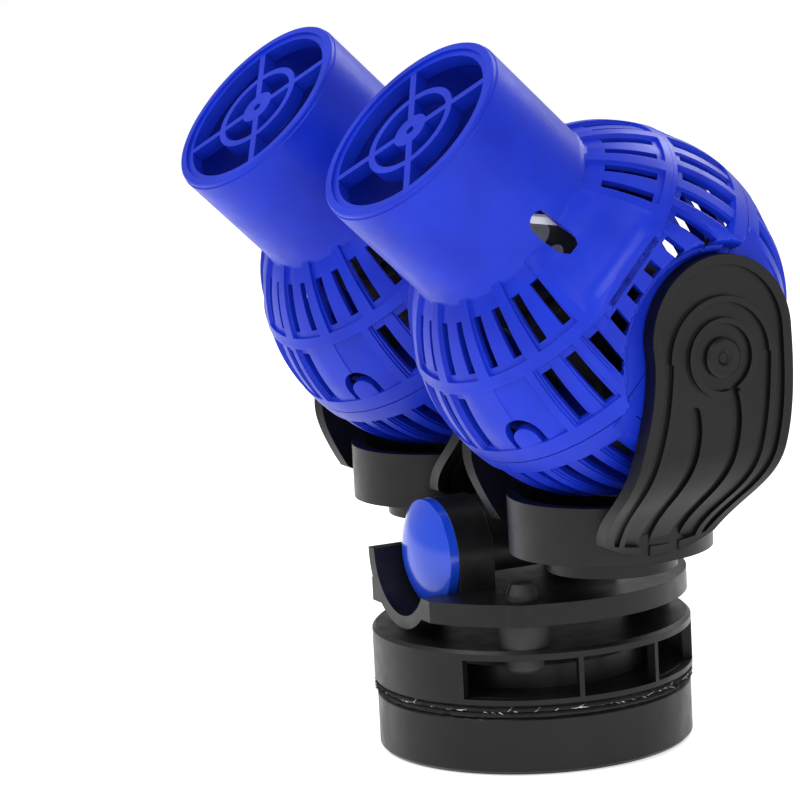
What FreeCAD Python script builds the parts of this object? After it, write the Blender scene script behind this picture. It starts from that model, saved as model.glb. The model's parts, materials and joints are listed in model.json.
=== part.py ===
import FreeCAD, Part
import math
import os
import Sketcher
from FreeCAD import Placement, Rotation, Vector

# Twin-head wave maker pump on a two-piece magnetic glass mount.
# Frame: origin at the centre of the outer magnet's flat underside, +Z up,
# +X along the line through the two heads, nozzles pointing towards -Y and up.

doc = FreeCAD.newDocument("wave_maker_pump")
dims = doc.addObject("Spreadsheet::Sheet", "dims")

DRIVING = {
    # magnetic glass mount, outer and inner half
    "case_radius": 32.5, "case_top": 11.9, "case_wall": 2.2, "edge_bevel": 0.7,
    "cover_thick": 1.9, "rib_pocket_depth": 1.1,
    "outer_magnet_radius": 27.0, "magnet_gap": 0.15,
    "pad_radius": 32.7, "pad_thick": 0.8, "glass_gap": 0.3,
    "ring_radius": 33.0, "ring_wall": 2.0, "ring_top": 25.5, "inner_magnet_radius": 20.9,
    "inner_magnet_thick": 4.6, "window_margin": 1.7,
    # rubber posts and saddle plate
    "post_circle": 27.0, "post_radius": 5.1, "post_neck": 2.4, "post_knob": 3.9,
    "post_head": 3.2, "post_head_height": 3.3, "neck_fit": 0.1,
    "plate_bottom": 30.4, "plate_top": 34.9, "plate_radius": 32.5, "boss_radius": 6.2,
    "barrel_height": 41.5, "cheek_radius": 11.4, "trough_radius": 11.9, "trough_wall": 2.7,
    "cheek_front": 21.2, "cheek_inner": 13.4, "rear_cheek_inner": 9.0, "rear_cheek_back": 14.5,
    "trough_front": 29.5,
    # cross arm, its pin and its cap
    "pin_radius": 2.0, "running_fit": 0.05, "pin_head": 3.6, "pin_head_thick": 1.5,
    "cap_radius": 11.2, "cap_rim": 1.9, "cap_crown": 3.6, "cap_hollow": 8.6, "cap_hollow_depth": 3.0,
    "barrel_radius": 10.8, "barrel_floor": 38.3, "side_gap": 0.3,
    "head_spacing": 73.6, "beam_width": 16.0, "beam_bottom": 42.2, "beam_top": 45.6,
    "pad_disc_radius": 13.0, "boss_top": 49.0, "swivel_boss": 6.0,
    "washer_radius": 9.0, "washer_thick": 0.7, "screw_head": 3.4, "screw_head_thick": 1.5,
    "screw_radius": 1.2,
    # yoke
    "cup_radius": 20.2, "cup_bottom": 46.2, "cup_top": 57.7, "cup_wall": 2.5,
    "arm_outer": 32.0, "arm_inner": 28.6, "arm_half_width": 15.9, "arm_top_rise": 19.8,
    "arm_rim": 2.0, "arm_dish": 0.8, "ridge_radius": 10.6, "ridge_width": 1.3, "button_ring": 7.2,
    "button_radius": 3.9, "stud_radius": 2.6, "stud_length": 6.0,
    # pump head, measured along its own axis from the tilt pivot
    "pivot_y": 6.6, "pivot_z": 86.5, "nozzle_tilt": 44.0, "rest_yaw": 5.0,
    "nozzle_front": 66.8, "nozzle_radius": 21.25, "nozzle_wall": 1.9, "nozzle_base": 40.6,
    "cage_radius": 37.0, "cage_centre": 10.3, "cage_wall": 2.0, "cage_side": 31.5,
    "cage_flat": 28.2, "recess_radius": 20.6, "recess_edge": 9.0, "seam": 10.1, "rear_end": -24.0,
    "ring_one": 29.0, "ring_one_width": 2.2, "ring_step": 0.7,
    "motor_radius": 15.5, "motor_front": 24.0, "motor_rear": -18.0, "well_radius": 7.9,
    "well_bottom": -9.0, "motor_wall": 1.2, "end_cap_rear": -20.5, "flange_front": 9.9,
    "shaft_radius": 1.5, "shaft_end": 50.0, "rotor_radius": 7.0, "rotor_rear": -3.0, "rotor_front": 18.0,
    "hub_radius": 5.0, "hub_rear": 31.0, "hub_front": 47.0, "blade_radius": 18.6,
    "grille_front": 66.2, "grille_rear": 63.4, "grille_rim": 1.3, "grille_ring": 10.4,
    "spoke_width": 1.5, "grille_hub": 3.9,
    "gland_radius": 2.9, "gland_flange": 5.0, "gland_end": -31.0, "lead_radius": 1.7,
}
DERIVED = {
    "inner_pad_bottom": "=case_top + pad_thick + glass_gap",
    "ring_bottom": "=case_top + pad_thick + glass_gap + pad_thick",
    "cap_sphere": "=(cap_radius ^ 2 + cap_crown ^ 2) / (2 * cap_crown)",
    "half_spacing": "=head_spacing / 2",
}
for row, (alias, content) in enumerate(list(DRIVING.items()) + list(DERIVED.items()), start=1):
    dims.set(f"A{row}", alias)
    dims.set(f"B{row}", str(content))
    dims.setAlias(f"B{row}", alias)
doc.recompute()


def size(text):
    """Value of a sum of named sizes or numbers, such as "case_radius - case_wall"."""
    total = 0.0
    sign = 1
    for word in text.split():
        if word in ("+", "-"):
            sign = 1 if word == "+" else -1
            continue
        named = word in DRIVING or word in DERIVED
        total += sign * (float(dims.get(word)) if named else float(word))
    return total


def bound(text):
    """The same sum as a FreeCAD expression bound to the sheet."""
    return " ".join("dims." + word if word in DRIVING or word in DERIVED else word for word in text.split())


def bind(thing, prop, text):
    thing.setExpression(prop, bound(text))


SUB_PARTS = []


def keep(thing, label, placement=None):
    """Registers a finished sub-part under its node name."""
    thing.Label = label
    if placement is not None:
        thing.Placement = placement
    SUB_PARTS.append(thing)
    return thing


def lathe(label, outline, placement=Placement()):
    """A turned piece: a constrained sketch of (radius, height) points revolved about Z."""
    body = doc.addObject("PartDesign::Body", label + "_body")
    sketch = body.newObject("Sketcher::SketchObject", label + "_sketch")
    plane = [f for f in body.Origin.OriginFeatures if f.Role == "XZ_Plane"][0]
    sketch.AttachmentSupport = [(plane, "")]
    sketch.MapMode = "FlatFace"
    points = [Vector(size(r), size(z), 0) for r, z in outline]
    for start, end in zip(points, points[1:] + points[:1]):
        sketch.addGeometry(Part.LineSegment(start, end))
    count = len(points)
    for index in range(count):
        sketch.addConstraint(Sketcher.Constraint("Coincident", index, 2, (index + 1) % count, 1))
    for index, (r, z) in enumerate(outline):
        for kind, text, axis in (("DistanceX", r, -2), ("DistanceY", z, -1)):
            if text == "0":
                sketch.addConstraint(Sketcher.Constraint("PointOnObject", index, 1, axis))
                continue
            number = sketch.addConstraint(Sketcher.Constraint(kind, -1, 1, index, 1, size(text)))
            sketch.renameConstraint(number, f"{kind}_{index}")
            sketch.setExpression(f"Constraints.{kind}_{index}", bound(text))
    turned = body.newObject("PartDesign::Revolution", label + "_turned")
    turned.Profile = sketch
    turned.ReferenceAxis = (sketch, ["V_Axis"])
    turned.Angle = 360
    body.Placement = placement
    return body


def cylinder(name, radius, height, base=Vector(), direction=Vector(0, 0, 1), angle=360, turn=0):
    """A Part::Cylinder from base along direction; turn starts a sector at that angle."""
    made = doc.addObject("Part::Cylinder", name)
    bind(made, "Radius", radius)
    bind(made, "Height", height)
    made.Angle = angle
    spin = Rotation(Vector(0, 0, 1), turn)
    made.Placement = Placement(base, Rotation(Vector(0, 0, 1), direction) * spin)
    return made


def box(name, low, high):
    made = doc.addObject("Part::Box", name)
    made.Length, made.Width, made.Height = high - low
    made.Placement.Base = low
    return made


def union(name, pieces):
    made = doc.addObject("Part::MultiFuse", name)
    made.Shapes = pieces
    made.Refine = True
    return made


def cut(name, base, tools):
    made = doc.addObject("Part::Cut", name)
    made.Base = base
    made.Tool = tools[0] if len(tools) == 1 else union(name + "_tools", tools)
    made.Refine = True
    return made


def common(name, first, second):
    made = doc.addObject("Part::Common", name)
    made.Base = first
    made.Tool = second
    return made


def feature(label, shape, placement=Placement()):
    """A piece whose shape is worked out in code from the sheet's sizes."""
    made = doc.addObject("Part::Feature", label + "_shape")
    made.Shape = shape
    return keep(made, label, placement)


def disc(r, low, high):
    """Outline of a plain disc or rod for lathe()."""
    return [("0", low), (r, low), (r, high), ("0", high)]


def tube(inner, outer, low, high):
    """Outline of a plain tube for lathe()."""
    return [(inner, low), (outer, low), (outer, high), (inner, high)]


BACKWARD = Vector(0, 1, 0)
FORWARD = Vector(0, -1, 0)
HUGE = 100.0

# ---- outer magnet half, the side that stays outside the glass ----

keep(lathe("outer_magnet_case", [
    ("case_radius - edge_bevel", "0"), ("case_radius", "edge_bevel"),
    ("case_radius", "case_top - edge_bevel"), ("case_radius - edge_bevel", "case_top"),
    ("0", "case_top"), ("0", "case_top - case_wall"),
    ("case_radius - case_wall", "case_top - case_wall"), ("case_radius - case_wall", "0"),
]), "outer_magnet_case")

cover_disc = lathe("outer_cover_disc", disc(
    "case_radius - case_wall - neck_fit", "0", "cover_thick"))
RIB_PITCH = 8.0
RIB_THICK = 1.2
BAND_HALF_WIDTH = 8.0
pockets = []
for side in (1, -1):
    for step in range(-2, 3):
        reach = math.sqrt((size("case_radius - case_wall") - 4) ** 2 - (abs(step) + 0.5) ** 2 * RIB_PITCH ** 2)
        near, far = sorted((side * BAND_HALF_WIDTH, side * reach))
        middle = step * RIB_PITCH
        pockets.append(box(
            f"rib_pocket_{side + 1}_{step + 2}",
            Vector(near, middle - (RIB_PITCH - RIB_THICK) / 2, -1),
            Vector(far, middle + (RIB_PITCH - RIB_THICK) / 2, size("rib_pocket_depth")),
        ))
keep(cut("outer_cover_ribbed", cover_disc, pockets), "outer_case_cover")
keep(lathe("outer_magnet", disc(
    "outer_magnet_radius", "cover_thick + magnet_gap", "case_top - case_wall - magnet_gap",
)), "outer_magnet")
keep(lathe("outer_grip_pad", disc("pad_radius", "case_top", "case_top + pad_thick")), "outer_grip_pad")

# ---- inner magnet half, pulled off the glass as one piece ----

keep(lathe("inner_grip_pad", disc("pad_radius", "inner_pad_bottom", "ring_bottom")), "inner_grip_pad")

POST_ANGLES = (-30, 90, 210)
POSTS = [Vector(size("post_circle") * math.cos(math.radians(a)),
                size("post_circle") * math.sin(math.radians(a)), 0) for a in POST_ANGLES]
WINDOW_BAYS = ((-52, -10.6), (-8.8, 21.6), (23.4, 58))

ring = lathe("inner_case_ring", [
    ("ring_radius - edge_bevel", "ring_bottom"), ("ring_radius", "ring_bottom + edge_bevel"),
    ("ring_radius", "ring_top - edge_bevel"), ("ring_radius - edge_bevel", "ring_top"),
    ("0", "ring_top"), ("0", "ring_top - ring_wall"),
    ("ring_radius - ring_wall", "ring_top - ring_wall"), ("ring_radius - ring_wall", "ring_bottom"),
])
window_tools = []
WINDOW_LOW = size("ring_bottom + window_margin")
for mirror in (False, True):
    for bay, (start, end) in enumerate(WINDOW_BAYS):
        first = 180 - end if mirror else start
        window_tools.append(cylinder(
            f"window_{int(mirror)}_{bay}", "ring_radius + 5", "ring_top - ring_wall - window_margin - ring_bottom",
            Vector(0, 0, WINDOW_LOW), angle=end - start, turn=first))
for index, post in enumerate(POSTS):
    window_tools.append(cylinder(
        f"post_hole_{index}", "post_neck + neck_fit", "10", post + Vector(0, 0, size("ring_top - 5"))))
keep(cut("inner_case_open", ring, window_tools), "inner_magnet_case")

keep(lathe("inner_case_cover", [
    ("0", "ring_bottom"), ("ring_radius - ring_wall - neck_fit", "ring_bottom"),
    ("ring_radius - ring_wall - neck_fit", "ring_bottom + window_margin"),
    ("inner_magnet_radius + 1.8", "ring_bottom + window_margin"),
    ("inner_magnet_radius + 1.8", "ring_bottom + window_margin + inner_magnet_thick"),
    ("inner_magnet_radius + 0.1", "ring_bottom + window_margin + inner_magnet_thick"),
    ("inner_magnet_radius + 0.1", "ring_bottom + window_margin"), ("0", "ring_bottom + window_margin"),
]), "inner_case_cover")
keep(lathe("inner_magnet", disc(
    "inner_magnet_radius", "ring_bottom + window_margin", "ring_bottom + window_margin + inner_magnet_thick",
)), "inner_magnet")

POST_OUTLINE = [
    ("0", "ring_top - ring_wall - 3.2"), ("post_knob - 0.6", "ring_top - ring_wall - 3.2"),
    ("post_knob", "ring_top - ring_wall - 2.6"), ("post_knob", "ring_top - ring_wall"),
    ("post_neck", "ring_top - ring_wall"), ("post_neck", "ring_top"),
    ("post_radius", "ring_top"), ("post_radius", "plate_bottom"),
    ("post_neck", "plate_bottom"), ("post_neck", "plate_top"),
    ("post_head", "plate_top"), ("post_head", "plate_top + 1.2"),
    ("post_neck", "plate_top + post_head_height"), ("0", "plate_top + post_head_height"),
]
SLOT_HALF = 0.4
for name, post in zip(("right", "rear", "left"), POSTS):
    post_body = lathe(f"{name}_post", POST_OUTLINE, Placement(post, Rotation()))
    slot_low = Vector(-SLOT_HALF, -10, size("plate_top + 0.8")) + post
    slot_high = Vector(SLOT_HALF, 10, size("plate_top + post_head_height + 1")) + post
    keep(cut(f"{name}_post_slotted", post_body, [box(f"{name}_post_slot", slot_low, slot_high)]),
         f"{name}_damper_post")

# saddle plate: disc with three bosses, front trough for the cap and two cheeks for the cross arm
PLATE_BASE = Vector(0, 0, size("plate_bottom"))
AXIS_HEIGHT = Vector(0, 0, size("barrel_height"))


def along_barrel(name, radius, start, length):
    """Cylinder on the barrel axis, from y = start backwards."""
    return cylinder(name, radius, str(length), AXIS_HEIGHT + Vector(0, start, 0), BACKWARD)


plate_pieces = [cylinder("plate_disc", "plate_radius", "plate_top - plate_bottom", PLATE_BASE)]
for index, post in enumerate(POSTS):
    plate_pieces.append(cylinder(
        f"plate_boss_{index}", "boss_radius", "plate_top - plate_bottom", PLATE_BASE + post))
CHEEKS = ((-size("cheek_front"), -size("cheek_inner")), (size("rear_cheek_inner"), size("rear_cheek_back")))
CHEEK_HALF = size("cheek_radius")
for index, (front, back) in enumerate(CHEEKS):
    plate_pieces.append(along_barrel(f"cheek_round_{index}", "cheek_radius", front, back - front))
    plate_pieces.append(box(
        f"cheek_foot_{index}", Vector(-CHEEK_HALF, front, size("plate_bottom + 0.5")),
        Vector(CHEEK_HALF, back, size("barrel_height"))))
TROUGH_FRONT = -size("trough_front")
TROUGH_LENGTH = size("trough_front - cheek_front")
trough_block = cut("trough_block", along_barrel("trough_round", "trough_radius + trough_wall",
                                                TROUGH_FRONT, TROUGH_LENGTH), [
    box("trough_top", Vector(-HUGE, -HUGE, size("barrel_height")), Vector(HUGE, HUGE, HUGE)),
    box("trough_right_side", Vector(4, -HUGE, size("plate_top")), Vector(HUGE, HUGE, HUGE)),
])
plate_pieces.append(trough_block)
plate_tools = [
    along_barrel("trough_hollow", "trough_radius", TROUGH_FRONT - 10, TROUGH_LENGTH + 10),
    along_barrel("pin_bore", "pin_radius + running_fit", -50, 100),
    box("plate_front_flat", Vector(-HUGE, -HUGE, 0), Vector(HUGE, TROUGH_FRONT, HUGE)),
]
for index, post in enumerate(POSTS):
    plate_tools.append(cylinder(f"plate_hole_{index}", "post_neck + neck_fit", "20",
                                post + Vector(0, 0, size("plate_bottom - 5"))))
keep(cut("plate_finished", union("plate_joined", plate_pieces), plate_tools), "saddle_plate")

# pin of the cross arm, its clip and the domed cap over its front end
FACING_FRONT = Rotation(Vector(0, 0, 1), FORWARD)


def on_barrel(y):
    """Places a lathe piece on the barrel axis with its own +Z towards the front."""
    return Placement(AXIS_HEIGHT + Vector(0, y, 0), FACING_FRONT)


PIN_BACK = size("rear_cheek_back")
keep(lathe("pivot_pin", [
    ("0", "0 - pin_head_thick"), ("pin_head", "0 - pin_head_thick"), ("pin_head", "0"), ("pin_radius", "0"),
    ("pin_radius", "rear_cheek_back + cheek_front + cap_hollow_depth - 0.4"),
    ("0", "rear_cheek_back + cheek_front + cap_hollow_depth - 0.4"),
], on_barrel(PIN_BACK)), "pivot_pin")
keep(lathe("pin_clip", tube("pin_radius", "pin_radius + 2.6", "0", "0.8"), on_barrel(-size("cheek_front"))),
     "pivot_pin_clip")
cap_blank = common(
    "cap_blank",
    cylinder("cap_rod", "cap_radius", "cap_rim + cap_crown", AXIS_HEIGHT + Vector(0, -size("cheek_front"), 0), FORWARD),
    doc.addObject("Part::Sphere", "cap_dome"),
)
dome = cap_blank.Tool
bind(dome, "Radius", "cap_sphere")
dome.Placement.Base = AXIS_HEIGHT + Vector(0, -size("cheek_front + cap_rim + cap_crown - cap_sphere"), 0)
keep(cut("cap_hollowed", cap_blank, [
    cylinder("cap_hollow_tool", "cap_hollow", "cap_hollow_depth",
             AXIS_HEIGHT + Vector(0, -size("cheek_front"), 0), FORWARD)]), "pivot_cap")

# ---- cross arm that carries both heads and rocks on the pin ----

BEAM_LOW = Vector(-size("half_spacing"), -size("beam_width") / 2, size("beam_bottom"))
BEAM_HIGH = Vector(size("half_spacing"), size("beam_width") / 2, size("beam_top"))
BARREL_FRONT = -size("cheek_inner - side_gap")
arm_pieces = [
    common("barrel", along_barrel("barrel_round", "barrel_radius", BARREL_FRONT,
                                  size("cheek_inner + rear_cheek_inner - side_gap - side_gap")),
           box("barrel_upper", Vector(-HUGE, -HUGE, size("barrel_floor")), Vector(HUGE, HUGE, HUGE))),
    box("beam", BEAM_LOW, BEAM_HIGH),
]
SIDES = {"right": 1, "left": -1}
arm_tools = [along_barrel("arm_bore", "pin_radius + running_fit", -50, 100)]
for side, sign in SIDES.items():
    centre = Vector(sign * size("half_spacing"), 0, 0)
    arm_pieces.append(cylinder(f"{side}_pad_disc", "pad_disc_radius", "beam_top - beam_bottom",
                               centre + Vector(0, 0, size("beam_bottom"))))
    arm_pieces.append(cylinder(f"{side}_swivel_boss", "swivel_boss", "boss_top - beam_bottom",
                               centre + Vector(0, 0, size("beam_bottom"))))
    arm_tools.append(cylinder(f"{side}_screw_hole", "screw_radius", "20",
                              centre + Vector(0, 0, size("beam_bottom + 2"))))
keep(cut("cross_arm_bored", union("cross_arm_joined", arm_pieces), arm_tools), "cross_arm")

for side, sign in SIDES.items():
    centre = Placement(Vector(sign * size("half_spacing"), 0, 0), Rotation())
    keep(lathe(f"{side}_swivel_washer", tube(
        "screw_radius", "washer_radius", "boss_top", "boss_top + washer_thick"), centre), f"{side}_swivel_washer")
    keep(lathe(f"{side}_swivel_screw", [
        ("0", "beam_bottom + 2"), ("screw_radius", "beam_bottom + 2"), ("screw_radius", "boss_top + washer_thick"),
        ("screw_head", "boss_top + washer_thick"), ("screw_head - 0.8", "boss_top + washer_thick + screw_head_thick"),
        ("0", "boss_top + washer_thick + screw_head_thick"),
    ], centre), f"{side}_swivel_screw")

# ---- yokes: a shallow cup that swivels, with two swept arms ----


def smooth(points):
    """Edge of a spline through the points."""
    curve = Part.BSplineCurve()
    curve.interpolate(points)
    return curve.toShape()


def line(first, second):
    return Part.LineSegment(first, second).toShape()


def arm_face(depth):
    """The arm's side wall in the XZ plane, set in from its outer face by depth."""
    return [(size("arm_outer") - depth, 108.0), (size("arm_outer") - depth, 68.0),
            (size("arm_outer") - depth - 1.6, 62.5), (size("cup_radius") + 3.4 - depth, 55.0),
            (size("cup_radius") + 0.4 - depth, 50.5), (size("cup_radius") + 0.2 - depth, size("cup_bottom") + 0.4)]


def arm_wall(near, far):
    """A wall between two depths under the arm's outer face, as wide as anything on the arm."""
    edges = []
    ends = []
    for depth in (near, far):
        points = [Vector(x, -40, z) for x, z in arm_face(depth)]
        edges.append(line(points[0], points[1]))
        curve = Part.BSplineCurve()
        curve.interpolate(points[1:], InitialTangent=Vector(0, 0, -1), FinalTangent=Vector(0, 0, -1))
        edges.append(curve.toShape())
        ends.append((points[0], points[-1]))
    edges.append(line(ends[0][0], ends[1][0]))
    edges.append(line(ends[0][1], ends[1][1]))
    wire = Part.Wire(Part.__sortEdges__(edges))
    return Part.Face(wire).extrude(Vector(0, 80, 0))


PIVOT_Y = size("pivot_y")
PIVOT_Z = size("pivot_z")
HALF = size("arm_half_width")
CROWN_Z = PIVOT_Z + size("arm_top_rise") - HALF
# front and rear edges of the arm below its round top, as (y, z)
FRONT_EDGE = ((PIVOT_Y - HALF, CROWN_Z), (PIVOT_Y - HALF, 82.0), (-12.4, 70.0), (-15.6, 60.0), (-14.6, 51.0))
REAR_EDGE = ((PIVOT_Y + HALF, CROWN_Z), (PIVOT_Y + HALF, 80.0), (20.4, 68.0), (15.6, 58.5), (10.6, 51.0))


def arm_outline(inset):
    """The arm seen from the side, drawn in by inset, as a slab across the whole arm."""
    front = [Vector(0, y + inset, z) for y, z in FRONT_EDGE]
    rear = [Vector(0, y - inset, z) for y, z in REAR_EDGE]
    crown = Vector(0, PIVOT_Y, CROWN_Z + HALF - inset)
    foot = Vector(0, -2, size("cup_bottom") + 1.6 + inset)
    edges = [smooth(front), Part.Arc(front[0], crown, rear[0]).toShape(), smooth(rear),
             Part.Arc(front[-1], foot, rear[-1]).toShape()]
    return Part.Face(Part.Wire(Part.__sortEdges__(edges))).extrude(Vector(60, 0, 0))


def between_edges(share):
    """Points down the arm at a share of its width behind the front edge."""
    return [((1 - share) * f[0] + share * r[0], (1 - share) * f[1] + share * r[1])
            for f, r in zip(FRONT_EDGE, REAR_EDGE)]


def flute(share, width, start):
    """A tapering groove outline that sweeps down the arm."""
    path = [(y, z) for y, z in between_edges(share) if z < start]
    path.insert(0, (path[0][0] + 0.4, start))
    path.append((path[-1][0] - 0.3, path[-1][1] - 4.5))
    left = [Vector(0, y - width / 2, z) for y, z in path]
    right = [Vector(0, y + width / 2, z) for y, z in path]
    top = Vector(0, path[0][0], start + width / 2)
    edges = [smooth(left), smooth(right), Part.Arc(left[0], top, right[0]).toShape(), line(left[-1], right[-1])]
    return Part.Face(Part.Wire(Part.__sortEdges__(edges))).extrude(Vector(60, 0, 0))


def side_rod(radius):
    """A cylinder on the tilt axis, used to cut round features into an arm."""
    return Part.makeCylinder(radius, 60, Vector(0, PIVOT_Y, PIVOT_Z), Vector(1, 0, 0))


RIB_HEIGHT = 0.9
FLUTES = ((0.37, 2.3, 76.5), (0.64, 2.3, 79.5))


def arm_shape():
    """The arm on the +X side: a swept wall, dished inside a raised rim, fluted below the pivot."""
    thick = size("arm_outer - arm_inner")
    solid = arm_wall(0.0, thick).common(arm_outline(0.0))
    dish = arm_outline(size("arm_rim"))
    ridge_outer = side_rod(size("ridge_radius + ridge_width"))
    ridge = ridge_outer.cut(side_rod(size("ridge_radius")))
    ridge = ridge.cut(Part.makeBox(60, 60, 30, Vector(0, -20, PIVOT_Z - 30)))
    rings = side_rod(size("button_ring + 0.5")).cut(side_rod(size("button_ring - 0.7")))
    reach = size("ridge_radius") + size("ridge_width") / 2
    legs = [flute(0.5 + turn * reach / (2 * HALF), size("ridge_width"), PIVOT_Z) for turn in (-1, 1)]
    dish = dish.cut(ridge.fuse([rings] + legs))
    skin = arm_wall(0.0, size("arm_dish"))
    solid = solid.cut(skin.common(dish))
    groove_skin = arm_wall(0.0, size("arm_dish") + RIB_HEIGHT)
    for share, width, start in FLUTES:
        solid = solid.cut(groove_skin.common(flute(share, width, start)))
    return solid.cut(side_rod(size("stud_radius + 0.02")))


def yoke_shape():
    cup = Part.makeCylinder(size("cup_radius"), size("cup_top - cup_bottom"), Vector(0, 0, size("cup_bottom")))
    arm = arm_shape()
    other = arm.mirror(Vector(), Vector(1, 0, 0))
    bowl = Part.makeCylinder(size("cup_radius - cup_wall"), 60, Vector(0, 0, size("cup_bottom + cup_wall")))
    hole = Part.makeCylinder(size("swivel_boss + running_fit"), 20, Vector(0, 0, size("cup_bottom - 5")))
    return cup.fuse([arm, other]).cut(bowl.fuse(hole)).removeSplitter()


YOKE = yoke_shape()
YAW = Rotation(Vector(0, 0, 1), size("rest_yaw"))


def yoke_placement(sign):
    return Placement(Vector(sign * size("half_spacing"), 0, 0), YAW)


def head_placement(sign):
    """Head frame: +Z out of the nozzle, X along the tilt axis, origin on the tilt axis."""
    local = Placement(Vector(0, PIVOT_Y, PIVOT_Z), Rotation(Vector(1, 0, 0), 90 - size("nozzle_tilt")))
    return yoke_placement(sign).multiply(local)


for side, sign in SIDES.items():
    feature(f"{side}_yoke", YOKE, yoke_placement(sign))
    for place, turn in (("outer", sign), ("inner", -sign)):
        across = Rotation(Vector(0, 0, 1), Vector(turn, 0, 0))
        seat = Vector(turn * size("arm_outer - arm_dish"), PIVOT_Y, PIVOT_Z)
        keep(lathe(f"{side}_{place}_button", [
            ("0", "0 - stud_length"), ("stud_radius", "0 - stud_length"), ("stud_radius", "0"),
            ("button_radius", "0"), ("button_radius", "0.7"), ("button_radius - 0.5", "1.1"),
            ("1.6", "1.1"), ("1.0", "0.6"), ("0", "0.6"),
        ], yoke_placement(sign).multiply(Placement(seat, across))), f"{side}_{place}_pivot_button")

# ---- pump heads ----

CENTRE = size("cage_centre")


def sphere_radius_at(height, inset=0.0):
    return math.sqrt((size("cage_radius") - inset) ** 2 - (height - CENTRE) ** 2)


def head_solid(inset):
    """The head's outside (inset 0) or its hollow (inset = wall), as one turned solid."""
    ball = size("cage_radius") - inset
    tube_radius = size("nozzle_radius") - (size("nozzle_wall") if inset else 0.0)
    front = size("nozzle_front") + (1 if inset else 0)
    rear = size("rear_end") + inset
    base = size("nozzle_base")
    shoulder = size("ring_one")
    joint_angle = math.acos((shoulder - CENTRE) / ball)
    rear_angle = math.acos((rear - CENTRE) / ball)
    mid_angle = (joint_angle + rear_angle) / 2

    def on_ball(angle):
        return Vector(ball * math.sin(angle), 0, CENTRE + ball * math.cos(angle))

    foot = Vector(tube_radius, 0, base - inset)
    hip = on_ball(joint_angle)
    rear_point = on_ball(rear_angle)
    bulge = (foot + hip) * 0.5 + Vector(0.6, 0, 0.6)
    edges = [
        line(Vector(0, 0, front), Vector(tube_radius, 0, front)),
        line(Vector(tube_radius, 0, front), foot),
        Part.Arc(foot, bulge, hip).toShape(),
        Part.Arc(hip, on_ball(mid_angle), rear_point).toShape(),
        line(rear_point, Vector(0, 0, rear)),
        line(Vector(0, 0, rear), Vector(0, 0, front)),
    ]
    solid = Part.Face(Part.Wire(edges)).revolve(Vector(), Vector(0, 0, 1), 360)
    for sign in (1, -1):
        solid = solid.cut(beyond(sign * (size("cage_side") - inset)))
        recess = Part.makeCylinder(size("recess_radius") - inset, 40, Vector(), Vector(sign, 0, 0))
        behind = Part.makeBox(40, 200, 200, Vector(0 if sign > 0 else -40, -100, size("recess_edge") + inset - 200))
        solid = solid.cut(recess.fuse(behind).common(beyond(sign * (size("cage_flat") - inset))))
    return solid


def beyond(x):
    """Everything further out along X than x, on x's own side."""
    return Part.makeBox(60, 200, 200, Vector(x if x > 0 else x - 60, -100, -100))


def blade(angle, width, low, high, inner, outer=60.0):
    """A radial slab at an angle round the head's axis, used to cut slots."""
    slab = Part.makeBox(outer - inner, width, high - low, Vector(inner, -width / 2, low))
    slab.rotate(Vector(), Vector(0, 0, 1), angle)
    return slab


LONG_SLOTS = 36
SLOT_WIDTH = 2.6
SLOT_LOW = 13.6
RECESS_MARGIN = 1.9
REAR_SIDE_ARC = 40.0
SHOULDER_BAYS = 6
SHOULDER_START = 23.0
SHOULDER_SLOT = 2.1
SHOULDER_SHIFT = 5.5
LATCH_ANGLES = (-66.0, 114.0)


def from_side(angle):
    """How far an angle is from the tilt axis, in degrees."""
    turned = abs((angle + 180) % 180)
    return min(turned, 180 - turned)


def near_latch(angle):
    return any(abs((angle - latch + 180) % 360 - 180) < 15 for latch in LATCH_ANGLES)


def front_slots(high):
    """Long slots of the front half. Near the sides they stop above the recess that the arm lies in."""
    clear = size("recess_radius") + RECESS_MARGIN
    tools = []
    for step in range(LONG_SLOTS):
        angle = (step + 0.5) * 360 / LONG_SLOTS
        if near_latch(angle):
            continue
        across = sphere_radius_at(SLOT_LOW) * math.sin(math.radians(from_side(angle)))
        low = max(SLOT_LOW, math.sqrt(max(0.0, clear ** 2 - across ** 2)))
        tools.append(blade(angle, SLOT_WIDTH, low, high, 24))
    return tools


def rear_slots(low, high):
    """Long slots of the rear half, clear of its flat sides."""
    angles = [(step + 0.5) * 360 / LONG_SLOTS for step in range(LONG_SLOTS)]
    return [blade(angle, SLOT_WIDTH, low, high, 24) for angle in angles if from_side(angle) > REAR_SIDE_ARC]


def shoulder_slots():
    """Two short slots in each bay of the shoulder, clear of the scoops at the sides."""
    bay = (180 - 2 * SHOULDER_START) / SHOULDER_BAYS
    tools = []
    for turn in (0, 180):
        for step in range(SHOULDER_BAYS):
            middle = turn + SHOULDER_START + (step + 0.5) * bay
            for shift in (-SHOULDER_SHIFT, SHOULDER_SHIFT):
                tools.append(blade(middle + shift, SHOULDER_SLOT, 30.6, 37.6, 19))
    return tools


def nozzle_slots():
    """Opening low in the nozzle wall at each side, where the impeller can be seen."""
    tools = []
    for sign in (1, -1):
        slab = Part.makeBox(30, 4.6, 8.4, Vector(0 if sign > 0 else -30, -2.3 - 2.0 * sign, 36.6))
        tools.append(slab)
    return tools


HOLLOW = head_solid(size("cage_wall"))
OUTSIDE = head_solid(0.0)
FRONT_HALF = Part.makeBox(200, 200, 200, Vector(-100, -100, size("seam + 0.1")))
REAR_HALF = Part.makeBox(200, 200, 200, Vector(-100, -100, size("seam - 0.1") - 200))
STUD_SOCKETS = Part.makeCylinder(size("stud_radius + running_fit"), 100, Vector(-50, 0, 0), Vector(1, 0, 0))


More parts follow.
